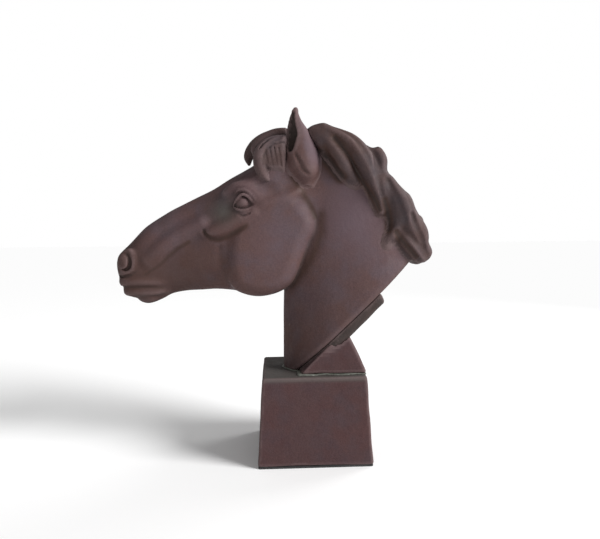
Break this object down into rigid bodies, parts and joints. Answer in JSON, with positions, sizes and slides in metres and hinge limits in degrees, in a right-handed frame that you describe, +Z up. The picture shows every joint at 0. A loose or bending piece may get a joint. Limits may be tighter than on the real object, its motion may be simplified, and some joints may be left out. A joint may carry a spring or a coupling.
{
  "type": "giant chess knight",
  "caption": "Horse-head knight for a giant lawn chess set: a hollow iron bust with mane and ears, bolted to a tapered square plinth.",
  "frame": {"origin": "middle of the underside of the rubber pad, which is the middle of the plinth", "axes": "+Z up, the horse looks along -X, the horse's left side is -Y"},
  "size_m": [0.5184, 0.18, 0.5555],
  "materials": {
    "iron": "matte cast iron with a rust-brown patina, fine sand-cast grain",
    "putty": "dull grey joint putty",
    "plate_steel": "mill-finish mild steel",
    "rubber": "matte black rubber",
    "fastener_steel": "zinc-plated steel"
  },
  "bodies": {
    "root": {"head_left": "iron", "head_right": "iron", "ear_left": "iron", "ear_right": "iron", "forelock_left": "iron", "forelock_right": "iron", "mane": "iron", "neck_cover": "iron", "neck_wedge": "iron", "plinth": "iron", "foot_seal": "putty", "base_plate": "plate_steel", "base_pad": "rubber", "base_screws": "fastener_steel", "foot_bolts": "fastener_steel", "foot_washers": "fastener_steel", "tie_rod": "fastener_steel", "tie_rod_nuts": "fastener_steel", "tie_rod_washers": "fastener_steel", "seam_bolts": "fastener_steel", "seam_washers": "fastener_steel", "seam_nuts": "fastener_steel", "seam_dowels": "fastener_steel", "cover_screws": "fastener_steel", "mane_studs": "fastener_steel", "mane_washers": "fastener_steel", "mane_nuts": "fastener_steel", "trim_studs": "fastener_steel", "trim_washers": "fastener_steel", "trim_nuts": "fastener_steel"}
  },
  "joints": []
}
